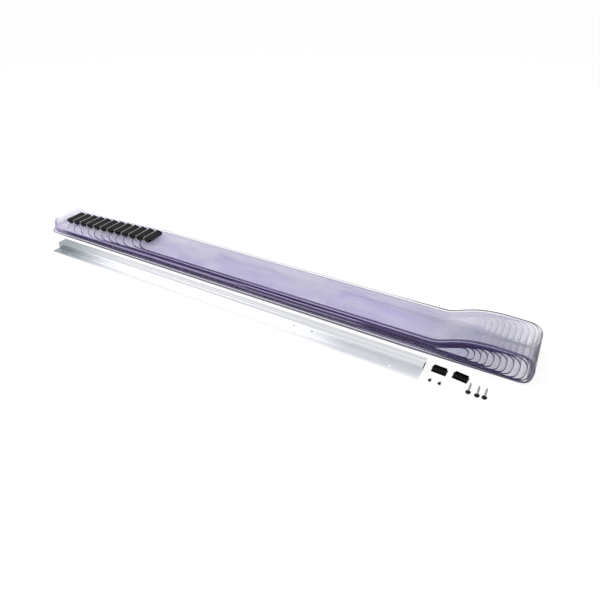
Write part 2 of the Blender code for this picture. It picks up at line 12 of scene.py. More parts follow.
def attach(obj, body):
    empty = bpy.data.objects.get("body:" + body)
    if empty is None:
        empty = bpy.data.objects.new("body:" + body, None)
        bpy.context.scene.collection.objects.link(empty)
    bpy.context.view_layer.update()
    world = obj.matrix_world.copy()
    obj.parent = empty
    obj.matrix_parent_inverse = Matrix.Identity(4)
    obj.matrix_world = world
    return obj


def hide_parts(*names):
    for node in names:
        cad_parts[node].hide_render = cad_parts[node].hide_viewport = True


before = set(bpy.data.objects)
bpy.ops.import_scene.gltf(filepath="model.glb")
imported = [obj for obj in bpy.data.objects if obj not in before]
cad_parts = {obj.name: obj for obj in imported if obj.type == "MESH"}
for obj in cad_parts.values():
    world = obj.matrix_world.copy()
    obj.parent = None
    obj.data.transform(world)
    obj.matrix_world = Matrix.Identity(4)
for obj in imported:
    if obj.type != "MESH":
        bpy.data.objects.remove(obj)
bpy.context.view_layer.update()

MM = 0.001

# Strips, as in the part's source
STRIP_COUNT = 12
STRIP_WIDTH = 143.0 * MM
STRIP_THICKNESS = 1.2 * MM
CORNER_RADIUS = 38.0 * MM
CLEARANCE = 0.3 * MM
LAYER_PITCH = STRIP_THICKNESS + CLEARANCE
OUTERMOST = STRIP_COUNT - 1
OUTER_STRIPS = 2
SIDE_DRIFT = 1.6 * MM
SIDE_DRIFT_TURN = 2.1
OUTER_SIDE_STEP = 6.0 * MM
FLOOR_SIDE_STEP = 6.0 * MM
SIDE_TURN_LEAD = 100.0 * MM
SIDE_TURN_LENGTH = 300.0 * MM
LOOP_PITCH = 13.3 * MM
OUTER_LOOP_PITCH = 7.5 * MM
INNER_NOSE_X = 1375.0 * MM
RISE_HEIGHT = 32.0 * MM
RISE_LENGTH = 63.0 * MM
RISE_START_X = INNER_NOSE_X - 88.0 * MM
FREE_END_REACH = 45.0 * MM
FREE_END_STEP = 1.6 * MM
FREE_END_LIFT = 26.0 * MM
FREE_END_CURL = 2.5
PACK_X = -689.3 * MM
PACK_FRONT_Y = 75.85 * MM

# Hangers, as in the part's source
HANGER_HEIGHT = 23.0 * MM
HANGER_THICKNESS = 11.5 * MM
HANGER_PITCH = 33.8 * MM
HANGER_TILT = math.radians(13.0)
HANGER_END_WALL = 2.4 * MM
HANGER_SIDE_SHIFT = 11.5 * MM
JAW_BEND_LENGTH = 6.0 * MM
STUD_SPACING = 51.0 * MM
STUD_HOLE_RADIUS = 3.0 * MM

# Rail, as in the part's source
CHANNEL_FRONT_Y = -2.35 * MM

# How finely the strips are drawn here
FINE_STEP = 3.0 * MM
FLAT_STEP = 60.0 * MM
UPPER_NOSE_STEPS = 22
LOWER_NOSE_STEPS = 24
LOWER_NOSE_EXPONENT = 3.4
RIM_WIDTH = 2.8 * MM            # band along a cut edge in which the sheet looks dark
OUTER_RIM_WIDTH = 6.5 * MM      # and the fainter, wider one of the outermost sheet
EDGE_HIGHLIGHT_WIDTH = 3.6 * MM         # painted highlight along the upper left edge of each hanger
FREE_END_STEPS = 12
JAW_BEND_STEPS = 7
CORNER_STEPS = 16
LEG_SAMPLES = 1500
RADIUS_ROUNDS = 50

# Painted light and shade on the cut edges: pale and dark bands, as height in mm and tone from 0 to 1, in
# three stretches of the pack
FLAT_HEIGHT = 2 * STRIP_COUNT * LAYER_PITCH
LEFT_BANDS = ((0, 0.02), (2, 0.02), (3, 0.7), (5, 0.6), (7, 0.0), (15, 0.0), (17.5, 0.3), (20, 0.95),
              (24, 1.0), (26, 0.3), (29, 0.05), (36, 0.0))
MIDDLE_BANDS = ((0, 0.02), (2, 0.02), (3, 0.6), (5, 0.55), (7, 0.0), (12.5, 0.0), (15, 0.6), (17, 0.5),
                (19, 0.1), (23.5, 0.15), (24.5, 1.0), (27.5, 1.0), (28.5, 0.05), (32, 0.0), (36, 0.12))
RIGHT_BANDS = ((0, 0.02), (3, 0.05), (5.5, 0.7), (8.5, 0.75), (10, 0.0), (18, 0.0), (20.5, 0.2),
               (22.5, 0.05), (25, 0.35), (28, 0.15), (36, 0.08))
LEFT_END_X = (0.03, 0.10)
MIDDLE_END_X = (0.40, 0.46)
FOLD_X = (0.58, 0.66)
# painted light: the cut edges are painted pale at the left end
PAINTED_PALE_END_X = (-0.70, -0.62)


# Node helpers

def node_material(name):
    material = bpy.data.materials.new(name)
    material.use_nodes = True
    nodes = material.node_tree.nodes
    nodes.clear()
    output = nodes.new("ShaderNodeOutputMaterial")
    return material, nodes, material.node_tree.links, output


def principled(nodes, **values):
    shader = nodes.new("ShaderNodeBsdfPrincipled")
    for key, value in values.items():
        shader.inputs[key.replace("_", " ")].default_value = value
    return shader


def noise(nodes, links, coordinates, scale=(1.0, 1.0, 1.0), **values):
    """A noise texture on object coordinates stretched by scale."""
    mapping = nodes.new("ShaderNodeMapping")
    mapping.inputs["Scale"].default_value = scale
    links.new(coordinates.outputs["Object"], mapping.inputs["Vector"])
    node = nodes.new("ShaderNodeTexNoise")
    for key, value in values.items():
        node.inputs[key.replace("_", " ")].default_value = value
    links.new(mapping.outputs["Vector"], node.inputs["Vector"])
    return node


def remap(nodes, links, source, low, high, to_low, to_high):
    node = nodes.new("ShaderNodeMapRange")
    node.inputs["From Min"].default_value = low
    node.inputs["From Max"].default_value = high
    node.inputs["To Min"].default_value = to_low
    node.inputs["To Max"].default_value = to_high
    links.new(source, node.inputs["Value"])
    return node.outputs["Result"]


def blend_colours(nodes, links, factor, first, second):
    node = nodes.new("ShaderNodeMix")
    node.data_type = "RGBA"
    node.inputs["A"].default_value = (*first, 1.0)
    node.inputs["B"].default_value = (*second, 1.0)
    links.new(factor, node.inputs["Factor"])
    return node.outputs["Result"]


def bump(nodes, links, height, distance):
    node = nodes.new("ShaderNodeBump")
    node.inputs["Distance"].default_value = distance
    node.inputs["Strength"].default_value = 1.0
    links.new(height, node.inputs["Height"])
    return node.outputs["Normal"]


def along_axis(nodes, links, coordinates, axis, low, high, to_low=0.0, to_high=1.0):
    """A value that runs smoothly between two places along an object axis."""
    split = nodes.new("ShaderNodeSeparateXYZ")
    links.new(coordinates.outputs["Object"], split.inputs["Vector"])
    node = nodes.new("ShaderNodeMapRange")
    node.interpolation_type = "SMOOTHSTEP"
    node.inputs["From Min"].default_value = low
    node.inputs["From Max"].default_value = high
    node.inputs["To Min"].default_value = to_low
    node.inputs["To Max"].default_value = to_high
    links.new(split.outputs[axis], node.inputs["Value"])
    return node.outputs["Result"]


def math_node(nodes, links, operation, first, second):
    node = nodes.new("ShaderNodeMath")
    node.operation = operation
    for socket, value in zip(node.inputs, (first, second)):
        if isinstance(value, (int, float)):
            socket.default_value = value
        else:
            links.new(value, socket)
    return node.outputs["Value"]


def steps_ramp(nodes, links, factor, stops):
    """A value that follows a list of (height in mm, value) stops."""
    ramp = nodes.new("ShaderNodeValToRGB")
    elements = ramp.color_ramp.elements
    elements.remove(elements[1])
    for i, (height, value) in enumerate(stops):
        place = height * MM / FLAT_HEIGHT
        element = elements[0] if i == 0 else elements.new(place)
        element.position = place
        element.color = (value, value, value, 1.0)
    links.new(factor, ramp.inputs["Fac"])
    return ramp.outputs["Color"]


# Materials

def film_shader(nodes, links, window_colour, share, gloss):
    """A see-through face: light passes with a tint, and a share of it meets the gloss shader."""
    window = nodes.new("ShaderNodeBsdfTransparent")
    if isinstance(window_colour, tuple):
        window.inputs["Color"].default_value = (*window_colour, 1.0)
    else:
        links.new(window_colour, window.inputs["Color"])
    mix = nodes.new("ShaderNodeMixShader")
    if isinstance(share, float):
        mix.inputs["Fac"].default_value = share
    else:
        links.new(share, mix.inputs["Fac"])
    links.new(window.outputs["BSDF"], mix.inputs[1])
    links.new(gloss.outputs["BSDF"], mix.inputs[2])
    return mix.outputs["Shader"]


def mirror_share(nodes, links, normal, least):
    """Share of light that a smooth face reflects, from either side: small head-on, and all of it at a
    grazing angle."""
    layer = nodes.new("ShaderNodeLayerWeight")
    layer.inputs["Blend"].default_value = 0.5
    links.new(normal, layer.inputs["Normal"])
    steep = math_node(nodes, links, "POWER", layer.outputs["Facing"], 4.0)
    return remap(nodes, links, steep, 0.0, 1.0, least, 1.0)


def spot(nodes, links, coordinates, centre, size):
    """1 in the middle of a soft oval seen from above, and 0 outside it, with a ragged rim."""
    split = nodes.new("ShaderNodeSeparateXYZ")
    links.new(coordinates.outputs["Object"], split.inputs["Vector"])
    squares = []
    for axis, middle, reach in zip("XY", centre, size):
        beside = math_node(nodes, links, "SUBTRACT", split.outputs[axis], middle)
        offset = math_node(nodes, links, "DIVIDE", beside, reach)
        squares.append(math_node(nodes, links, "MULTIPLY", offset, offset))
    ragged = noise(nodes, links, coordinates, (22.0, 40.0, 20.0), Scale=1.0, Detail=3.0)
    reach = math_node(nodes, links, "ADD", math_node(nodes, links, "ADD", *squares),
                      remap(nodes, links, ragged.outputs["Fac"], 0.3, 0.7, -0.5, 0.5))
    return remap(nodes, links, reach, 0.3, 1.1, 1.0, 0.0)


# Light that one face lets through, in each kind of place; the fold and edge-on tints are painted shade
LOOSE_TINT = (0.987, 0.9846, 0.9952)
CLINGING_TINT = (0.9955, 0.9945, 0.9989)
APART_TINT = (0.9905, 0.9903, 0.9952)
PATCH_TINT = (0.982, 0.981, 0.9905)
LOWER_FOLD_SHADE_TINT = (0.964, 0.963, 0.973)
FOLD_SHADE_TINT = (0.965, 0.966, 0.976)
EDGE_ON_SHADE_TINT = (0.42, 0.42, 0.47)
HEAD_ON_SHARE = 0.022               # share of light that a face mirrors when it is looked at squarely

APART_X = (0.5, 0.68)               # the sheets part towards the hump
PATCH_CENTRE = (0.665, 0.128)       # a violet mark where the sheets cling at the foot of the hump
PATCH_SIZE = (0.05, 0.045)
FOLD_SHADE_X = (0.70, 0.84)               # painted shade: the upper sheets of the hump are darkened towards their folds
FOLD_SHADE_Z = (0.012, 0.03)
LOWER_FOLD_SHADE_X = (0.66, 0.80)             # painted shade: and the lower ones a little
EDGE_ON_SHADE_X = (0.810, 0.815)             # painted shade: the outer fold, seen almost edge-on, is darkened


def clear_pvc_material():
    """Tinted film: each face lets light through with a slight violet loss and mirrors a little. Where sheets
    cling together the violet is deeper and they mirror less; on the hump they lie apart and look greyer.
    Towards the folds of the hump the tint is darkened as painted shade, most on the outer fold seen edge-on."""
    material, nodes, links, output = node_material("clear_pvc")
    coordinates = nodes.new("ShaderNodeTexCoord")
    clouds = noise(nodes, links, coordinates, (7.0, 17.0, 4.0), Scale=1.0, Detail=6.0, Roughness=0.68,
                   Distortion=0.8)
    ripples = noise(nodes, links, coordinates, (70.0, 6.0, 70.0), Scale=1.0, Detail=2.0)
    normal = bump(nodes, links, ripples.outputs["Fac"], 0.0008)
    cling = remap(nodes, links, clouds.outputs["Fac"], 0.36, 0.64, 0.0, 1.0)
    apart = along_axis(nodes, links, coordinates, "X", *APART_X)
    patch = spot(nodes, links, coordinates, PATCH_CENTRE, PATCH_SIZE)
    cling = math_node(nodes, links, "MULTIPLY", cling, math_node(nodes, links, "SUBTRACT", 1.0, patch))
    tint = blend_colours(nodes, links, cling, LOOSE_TINT, CLINGING_TINT)
    tint_and_painted_shade = mixed(nodes, links, apart, tint, APART_TINT)
    tint_and_painted_shade = mixed(nodes, links, patch, tint_and_painted_shade, PATCH_TINT)
    # painted shade towards the folds of the lower sheets
    tint_and_painted_shade = mixed(nodes, links, along_axis(nodes, links, coordinates, "X", *LOWER_FOLD_SHADE_X), tint_and_painted_shade, LOWER_FOLD_SHADE_TINT)
    # painted shade towards the folds of the upper sheets of the hump
    fold_shade = math_node(nodes, links, "MULTIPLY", along_axis(nodes, links, coordinates, "X", *FOLD_SHADE_X),
                     along_axis(nodes, links, coordinates, "Z", *FOLD_SHADE_Z))
    tint_and_painted_shade = mixed(nodes, links, fold_shade, tint_and_painted_shade, FOLD_SHADE_TINT)
    # painted shade on the outer fold seen almost edge-on
    tint_and_painted_shade = mixed(nodes, links, along_axis(nodes, links, coordinates, "X", *EDGE_ON_SHADE_X), tint_and_painted_shade, EDGE_ON_SHADE_TINT)
    gloss = principled(nodes, Base_Color=(0.85, 0.85, 0.9, 1.0), Roughness=0.12, IOR=1.53)
    links.new(normal, gloss.inputs["Normal"])
    strength = math_node(nodes, links, "ADD", remap(nodes, links, cling, 0.0, 1.0, 0.15, 0.5),
                         math_node(nodes, links, "MULTIPLY", apart, 0.35))
    share = math_node(nodes, links, "MULTIPLY", mirror_share(nodes, links, normal, HEAD_ON_SHARE), strength)
    links.new(film_shader(nodes, links, tint_and_painted_shade, share, gloss), output.inputs["Surface"])
    return material


def painted_edge_light(nodes, links, coordinates):
    """Painted light and shade of the cut edges, 0 dark and 1 pale: bands by height in the flat pack, painted
    shade round the folds, and a painted pale stretch at the left end."""
    drift = noise(nodes, links, coordinates, (6.0, 0.0, 0.0), Scale=1.0, Detail=2.0)
    height = along_height(nodes, links, coordinates, drift.outputs["Fac"])
    left, middle, right = (steps_ramp(nodes, links, height, bands)
                           for bands in (LEFT_BANDS, MIDDLE_BANDS, RIGHT_BANDS))
    tone = linked_mix(nodes, links, along_axis(nodes, links, coordinates, "X", *LEFT_END_X), left, middle)
    tone = linked_mix(nodes, links, along_axis(nodes, links, coordinates, "X", *MIDDLE_END_X), tone, right)
    # painted shade round the folds, below the upper sheets
    fold = along_axis(nodes, links, coordinates, "X", *FOLD_X, 1.0, 0.0)
    fold = math_node(nodes, links, "MAXIMUM", fold, along_axis(nodes, links, coordinates, "Z", 0.018, 0.022))
    tone = math_node(nodes, links, "MULTIPLY", tone, fold)
    # painted light: a pale stretch at the left end
    painted_pale_end = along_axis(nodes, links, coordinates, "X", *PAINTED_PALE_END_X, 0.7, 0.0)
    return math_node(nodes, links, "MAXIMUM", tone, painted_pale_end)


def linked_mix(nodes, links, factor, first, second):
    node = nodes.new("ShaderNodeMix")
    node.data_type = "RGBA"
    links.new(factor, node.inputs["Factor"])
    links.new(first, node.inputs["A"])
    links.new(second, node.inputs["B"])
    return node.outputs["Result"]


def along_height(nodes, links, coordinates, drift):
    """Share of the flat pack's height, with a slow drift along the sheets."""
    split = nodes.new("ShaderNodeSeparateXYZ")
    links.new(coordinates.outputs["Object"], split.inputs["Vector"])
    share = math_node(nodes, links, "DIVIDE", split.outputs["Z"], FLAT_HEIGHT)
    slow = remap(nodes, links, drift, 0.3, 0.7, -0.03, 0.03)
    return math_node(nodes, links, "ADD", share, slow)


def edge_colour(nodes, links, coordinates):
    """Violet of a cut edge: light that has run far through the sheet comes out dark, with painted light in
    pale bands.
    """
    tone = painted_edge_light(nodes, links, coordinates)
    streaks = noise(nodes, links, coordinates, (25.0, 300.0, 500.0), Scale=1.0, Detail=3.0)
    dark = blend_colours(nodes, links, remap(nodes, links, streaks.outputs["Fac"], 0.35, 0.65, 0.0, 1.0),
                         (0.016, 0.004, 0.07), (0.065, 0.03, 0.19))
    return mixed(nodes, links, tone, dark, (0.78, 0.69, 1.0))


def front_edge_material():
    material, nodes, links, output = node_material("pvc_cut_edge")
    coordinates = nodes.new("ShaderNodeTexCoord")
    shader = principled(nodes, Roughness=0.3, IOR=1.35)
    links.new(edge_colour(nodes, links, coordinates), shader.inputs["Base Color"])
    links.new(shader.outputs["BSDF"], output.inputs["Surface"])
    return material


def front_rim_material(name, strength):
    """Band of a sheet along its front edge, where the edge's colour shows through the face, with its painted
    bands of light and shade.
    """
    material, nodes, links, output = node_material(name)
    coordinates = nodes.new("ShaderNodeTexCoord")
    shader = principled(nodes, Roughness=0.2, IOR=1.35)
    links.new(edge_colour(nodes, links, coordinates), shader.inputs["Base Color"])
    share = along_axis(nodes, links, coordinates, "X", *FOLD_X, 0.93 * strength, strength)
    links.new(film_shader(nodes, links, (0.97, 0.96, 0.985), share, shader), output.inputs["Surface"])
    return material


def back_edge_material(name, flat_share, fold_share):
    """Edge or rim at the back of a sheet, seen against the light: pale, and darker round the folds."""
    material, nodes, links, output = node_material(name)
    coordinates = nodes.new("ShaderNodeTexCoord")
    shader = principled(nodes, Base_Color=(0.07, 0.06, 0.11, 1.0), Roughness=0.15, IOR=1.45)
    share = along_axis(nodes, links, coordinates, "X", 0.45, 0.62, flat_share, fold_share)
    links.new(film_shader(nodes, links, (0.975, 0.97, 0.985), share, shader), output.inputs["Surface"])
    return material


def back_face_material():
    """Cut edge at the back of the inner sheets. It turns light back down through the sheets below, so it is
    the more violet the higher it lies."""
    material, nodes, links, output = node_material("pvc_back_face")
    coordinates = nodes.new("ShaderNodeTexCoord")
    height = along_axis(nodes, links, coordinates, "Z", 0.0, FLAT_HEIGHT)
    tint = blend_colours(nodes, links, height, (0.97, 0.965, 0.98), (0.5, 0.45, 0.66))
    shader = principled(nodes, Base_Color=(0.4, 0.38, 0.55, 1.0), Roughness=0.15, IOR=1.45)
    links.new(film_shader(nodes, links, tint, 0.08, shader), output.inputs["Surface"])
    return material


def painted_edge_highlight(nodes, links, coordinates):
    """Painted highlight: 1 along the upper left edge of each hanger, where the row's pitch repeats."""
    split = nodes.new("ShaderNodeSeparateXYZ")
    links.new(coordinates.outputs["Object"], split.inputs["Vector"])
    edge = HANGER_THICKNESS * math.sin(HANGER_TILT) - HANGER_HEIGHT * math.cos(HANGER_TILT)
    along = math_node(nodes, links, "SUBTRACT", split.outputs["X"], PACK_X + edge - HANGER_PITCH)
    turns = math_node(nodes, links, "FRACT", math_node(nodes, links, "DIVIDE", along, HANGER_PITCH), 0.0)
    return math_node(nodes, links, "LESS_THAN", turns, EDGE_HIGHLIGHT_WIDTH / HANGER_PITCH)


def moulding_material(name, colour, edge_highlight=False):
    """Satin black moulded plastic with a fine spark-eroded grain and slight mottling; when asked, a painted
    highlight along the upper left edge of each hanger.
    """
    material, nodes, links, output = node_material(name)
    coordinates = nodes.new("ShaderNodeTexCoord")
    grain = noise(nodes, links, coordinates, Scale=2600.0, Detail=2.0)
    mottle = noise(nodes, links, coordinates, Scale=90.0, Detail=4.0)
    lighter = tuple(min(1.0, channel * 1.9) for channel in colour)
    shade = blend_colours(nodes, links, mottle.outputs["Fac"], colour, lighter)
    if edge_highlight:
        # painted highlight: a light grey band along the upper left edge of each hanger
        shade = mixed(nodes, links, painted_edge_highlight(nodes, links, coordinates), shade, (0.5, 0.5, 0.52))
    shader = principled(nodes, IOR=1.22)
    links.new(shade, shader.inputs["Base Color"])
    links.new(remap(nodes, links, mottle.outputs["Fac"], 0.3, 0.7, 0.34, 0.5), shader.inputs["Roughness"])
    links.new(bump(nodes, links, grain.outputs["Fac"], 0.00004), shader.inputs["Normal"])
    links.new(shader.outputs["BSDF"], output.inputs["Surface"])
    return material


def aluminium_material():
    """Extruded aluminium: die lines run along the rail, with soft bands of duller metal. The front wall and
    the flange carry a painted highlight along the middle, the rail is painted darker towards its far left end
    as shade, and the inside of the channel is painted dark as shade."""
    material, nodes, links, output = node_material("extruded_aluminium")
    coordinates = nodes.new("ShaderNodeTexCoord")
    lines = noise(nodes, links, coordinates, (0.9, 1500.0, 1500.0), Scale=1.0, Detail=3.0)
    bands = noise(nodes, links, coordinates, (0.5, 130.0, 130.0), Scale=1.0, Detail=2.0)
    shade = blend_colours(nodes, links, remap(nodes, links, bands.outputs["Fac"], 0.35, 0.65, 0.0, 1.0),
                          (0.64, 0.655, 0.685), (0.8, 0.805, 0.84))
    middle = math_node(nodes, links, "MULTIPLY",
                       along_axis(nodes, links, coordinates, "X", -0.62, -0.2),
                       along_axis(nodes, links, coordinates, "X", 0.3, 0.44, 1.0, 0.0))
    front = along_axis(nodes, links, coordinates, "Y", CHANNEL_FRONT_Y, CHANNEL_FRONT_Y + 1.5 * MM, 1.0, 0.0)
    # painted shade: the rail is darker towards its far left end
    far = along_axis(nodes, links, coordinates, "X", -0.6, -0.3, 0.9, 0.0)
    shade = mixed(nodes, links, far, shade, (0.3, 0.34, 0.36))
    # painted highlight along the middle of the front wall and the flange
    painted_highlight_place = math_node(nodes, links, "MULTIPLY", middle, front)
    bright = mixed(nodes, links, painted_highlight_place, shade, (0.89, 0.9, 0.92))
    # painted shade inside the channel
    inside = box_mask(nodes, links, coordinates, (("Y", -1.6 * MM, 29.6 * MM), ("Z", 1.9 * MM, 19.0 * MM)))
    colour = mixed(nodes, links, inside, bright, (0.04, 0.042, 0.045))
    shader = principled(nodes, Metallic=1.0)
    links.new(colour, shader.inputs["Base Color"])
    links.new(remap(nodes, links, lines.outputs["Fac"], 0.3, 0.7, 0.26, 0.44), shader.inputs["Roughness"])
    links.new(bump(nodes, links, lines.outputs["Fac"], 0.00003), shader.inputs["Normal"])
    links.new(shader.outputs["BSDF"], output.inputs["Surface"])
    return material


def mixed(nodes, links, factor, first, second):
    """A linked colour blended with a fixed one."""
    node = nodes.new("ShaderNodeMix")
    node.data_type = "RGBA"
    node.inputs["B"].default_value = (*second, 1.0)
    links.new(factor, node.inputs["Factor"])
    links.new(first, node.inputs["A"])
    return node.outputs["Result"]


def box_mask(nodes, links, coordinates, ranges):
    """1 between the given places along the given axes, and 0 elsewhere."""
    split = nodes.new("ShaderNodeSeparateXYZ")
    links.new(coordinates.outputs["Object"], split.inputs["Vector"])
    mask = 1.0
    for axis, low, high in ranges:
        above = math_node(nodes, links, "GREATER_THAN", split.outputs[axis], low)
        below = math_node(nodes, links, "LESS_THAN", split.outputs[axis], high)
        mask = math_node(nodes, links, "MULTIPLY", mask, math_node(nodes, links, "MULTIPLY", above, below))
    return mask


def zinc_material(name, dull, bright, roughness):
    """Zinc plating on steel, slightly uneven. Its lighter and darker copies on the screw heads are painted
    highlight and painted dark reflection.
    """
    material, nodes, links, output = node_material(name)
    coordinates = nodes.new("ShaderNodeTexCoord")
    cloud = noise(nodes, links, coordinates, Scale=420.0, Detail=4.0)
    shade = blend_colours(nodes, links, cloud.outputs["Fac"], dull, bright)
    shader = principled(nodes, Metallic=1.0)
    links.new(shade, shader.inputs["Base Color"])
    links.new(remap(nodes, links, cloud.outputs["Fac"], 0.3, 0.7, roughness, roughness + 0.1),
              shader.inputs["Roughness"])
    links.new(shader.outputs["BSDF"], output.inputs["Surface"])
    return material


# Path of each strip, in the pack's own X and Z

def lower_height(level):
    return (OUTERMOST - level) * LAYER_PITCH + STRIP_THICKNESS / 2


def upper_height(level):
    return (STRIP_COUNT + level) * LAYER_PITCH + STRIP_THICKNESS / 2


def nose_x(level):
    last_regular = OUTERMOST - OUTER_STRIPS
    regular = min(level, last_regular)
    return INNER_NOSE_X + regular * LOOP_PITCH + (level - regular) * OUTER_LOOP_PITCH


def upper_leg_point(x, level):
    run = max(x - RISE_START_X, 0.0) / RISE_LENGTH
    fade = math.exp(-run * run)
    slope = RISE_HEIGHT * 2 * run * fade / RISE_LENGTH
    height = upper_height(0) + RISE_HEIGHT * (1 - fade)
    offset = level * LAYER_PITCH / math.hypot(1.0, slope)
    return np.array([x - slope * offset, height + offset])


def fold_circle(level):
    """Centre, radius and upper touching point of the circle that turns a strip round its nose."""
    places = np.linspace(RISE_START_X, nose_x(level), LEG_SAMPLES)
    legs = np.array([upper_leg_point(x, level) for x in places])
    small = STRIP_THICKNESS
    large = upper_height(level) + RISE_HEIGHT - lower_height(level)
    for _ in range(RADIUS_ROUNDS):
        radius = (small + large) / 2
        centre = np.array([nose_x(level) - radius, lower_height(level) + radius])
        distances = np.hypot(*(legs - centre).T)
        if distances.min() > radius:
            small = radius
        else:
            large = radius
    return centre, radius, legs[int(distances.argmin())]


def hanger_point(level, along, up):
    foot = np.array([level * HANGER_PITCH, (STRIP_COUNT + level) * LAYER_PITCH])
    left = np.array([-math.cos(HANGER_TILT), math.sin(HANGER_TILT)])
    upward = np.array([math.sin(HANGER_TILT), math.cos(HANGER_TILT)])
    return foot + left * along + upward * up


def strip_path(level):
    mid = HANGER_THICKNESS / 2
    end_in_jaw = hanger_point(level, HANGER_HEIGHT - HANGER_END_WALL - CLEARANCE, mid)
    jaw_exit = hanger_point(level, 0.0, mid)
    drop = jaw_exit[1] - upper_height(level)
    bend = np.array([jaw_exit[0] + drop / math.tan(HANGER_TILT), upper_height(level)])
    tilted = np.array([-math.cos(HANGER_TILT), math.sin(HANGER_TILT)])
    before_bend = bend + tilted * JAW_BEND_LENGTH
    after_bend = bend + np.array([JAW_BEND_LENGTH, 0.0])
    path = [end_in_jaw]
    for share in np.linspace(0.0, 1.0, JAW_BEND_STEPS):
        rest = 1 - share
        path.append(before_bend * rest ** 2 + bend * 2 * share * rest + after_bend * share ** 2)

    centre, radius, touch = fold_circle(level)
    flat = RISE_START_X - after_bend[0]
    for share in np.linspace(0.0, 1.0, int(flat / FLAT_STEP) + 2)[1:]:
        path.append(after_bend + np.array([flat * share, 0.0]))
    x = RISE_START_X + FINE_STEP
    while x < touch[0] - FINE_STEP / 3:
        path.append(upper_leg_point(x, level))
        x += FINE_STEP
    path.append(touch)
    start = math.atan2(*(touch - centre)[::-1])
    for step in range(1, UPPER_NOSE_STEPS + 1):
        angle = start * (1 - step / UPPER_NOSE_STEPS)
        path.append(centre + radius * np.array([math.cos(angle), math.sin(angle)]))
    for step in range(1, LOWER_NOSE_STEPS + 1):
        angle = math.radians(90.0) * step / LOWER_NOSE_STEPS
        share = np.array([math.cos(angle), math.sin(angle)])
        share /= (share ** LOWER_NOSE_EXPONENT).sum() ** (1 / LOWER_NOSE_EXPONENT)
        path.append(centre + radius * share * (1.0, -1.0))
    low = path[-1]
    for share in np.linspace(0.0, 1.0, int(low[0] / FLAT_STEP) + 2)[1:-1]:
        path.append(low * (1 - share) + np.array([0.0, low[1]]) * share)
    reach = FREE_END_REACH + FREE_END_STEP * level
    lift = FREE_END_LIFT * (OUTERMOST - level) / OUTERMOST
    for step in range(FREE_END_STEPS + 1):
        share = step / FREE_END_STEPS
        path.append(np.array([-reach * share, lower_height(level) + lift * share ** FREE_END_CURL]))
    return np.array(path)


def side_drift(level):
    return SIDE_DRIFT * math.sin(SIDE_DRIFT_TURN * level)


def side_steps(level):
    upper = OUTER_SIDE_STEP if level > OUTERMOST - OUTER_STRIPS else 0.0
    lower = -FLOOR_SIDE_STEP if level == OUTERMOST else 0.0
    return upper, 0.0, lower


def add_mesh(name, bm, materials):
    mesh = bpy.data.meshes.new(name)
    bm.to_mesh(mesh)
    bm.free()
    for material in materials:
        mesh.materials.append(material)
    item = bpy.data.objects.new(name, mesh)
    bpy.context.scene.collection.objects.link(item)
    return item


# Material slots of a sheet, and those of the eight bands round its section
FACE, FRONT_RIM, BACK_RIM, FRONT_EDGE, BACK_EDGE, END_EDGE = range(6)
RING_PARTS = (FRONT_RIM, FACE, BACK_RIM, BACK_EDGE, BACK_RIM, FACE, FRONT_RIM, FRONT_EDGE)


def make_strip(level, materials):
    """One folded sheet with smooth bends, rounded ends, sharp cut edges and stud holes in its jaw end."""
    path = strip_path(level)
    lengths = np.concatenate([[0.0], np.cumsum(np.hypot(*np.diff(path, axis=0).T))])
    total = lengths[-1]
    turns = np.radians(90.0) * np.arange(CORNER_STEPS + 1) / CORNER_STEPS
    corner_rows = CORNER_RADIUS * (1 - np.cos(turns))
    rows = np.array(sorted(set(lengths) | set(corner_rows) | set(total - corner_rows)))
    rows = rows[np.concatenate([[True], np.diff(rows) > STRIP_THICKNESS / 20])]
    rows[-1] = total
    points = np.column_stack([np.interp(rows, lengths, path[:, 0]), np.interp(rows, lengths, path[:, 1])])
    along = np.gradient(points, rows, axis=0)
    along /= np.hypot(*along.T)[:, None]
    normals = np.column_stack([-along[:, 1], along[:, 0]])
    to_end = np.minimum(rows, total - rows)
    in_corner = np.clip(CORNER_RADIUS - to_end, 0.0, None)
    half_width = STRIP_WIDTH / 2 - (CORNER_RADIUS - np.sqrt(CORNER_RADIUS ** 2 - in_corner ** 2))
    nose = lengths[path[:, 0].argmax()]
    steps = np.interp(rows, [nose - SIDE_TURN_LEAD, nose, nose + SIDE_TURN_LENGTH], side_steps(level))
    middles = PACK_FRONT_Y + STRIP_WIDTH / 2 + side_drift(level) + steps

    rim_width = OUTER_RIM_WIDTH if level == OUTERMOST else RIM_WIDTH
    bm = bmesh.new()
    rings = []
    for point, normal, half, middle in zip(points, normals, half_width, middles):
        ring = []
        front = half - rim_width
        inner = half - RIM_WIDTH
        for lift, places in ((1, (-half, -front, inner, half)), (-1, (half, inner, -front, -half))):
            x, z = point + normal * lift * STRIP_THICKNESS / 2
            for place in places:
                ring.append(bm.verts.new((PACK_X + x, middle + place, z)))
        rings.append(ring)
    for first, second in zip(rings, rings[1:]):
        for i, part in enumerate(RING_PARTS):
            face = bm.faces.new((first[i], first[(i + 1) % 8], second[(i + 1) % 8], second[i]))
            face.material_index = part
            face.smooth = True
    for ring in (rings[0], rings[-1]):
        bm.faces.new(ring).material_index = END_EDGE
    bmesh.ops.recalc_face_normals(bm, faces=bm.faces[:])
    edge_parts = {FRONT_EDGE, BACK_EDGE, END_EDGE}
    for edge in bm.edges:
        parts = {face.material_index for face in edge.link_faces}
        if len(parts) > 1 and parts & edge_parts:
            edge.smooth = False
    strip = add_mesh("sheet_%02d" % (level + 1), bm, materials)
    cut_stud_holes(strip, level)
    return strip


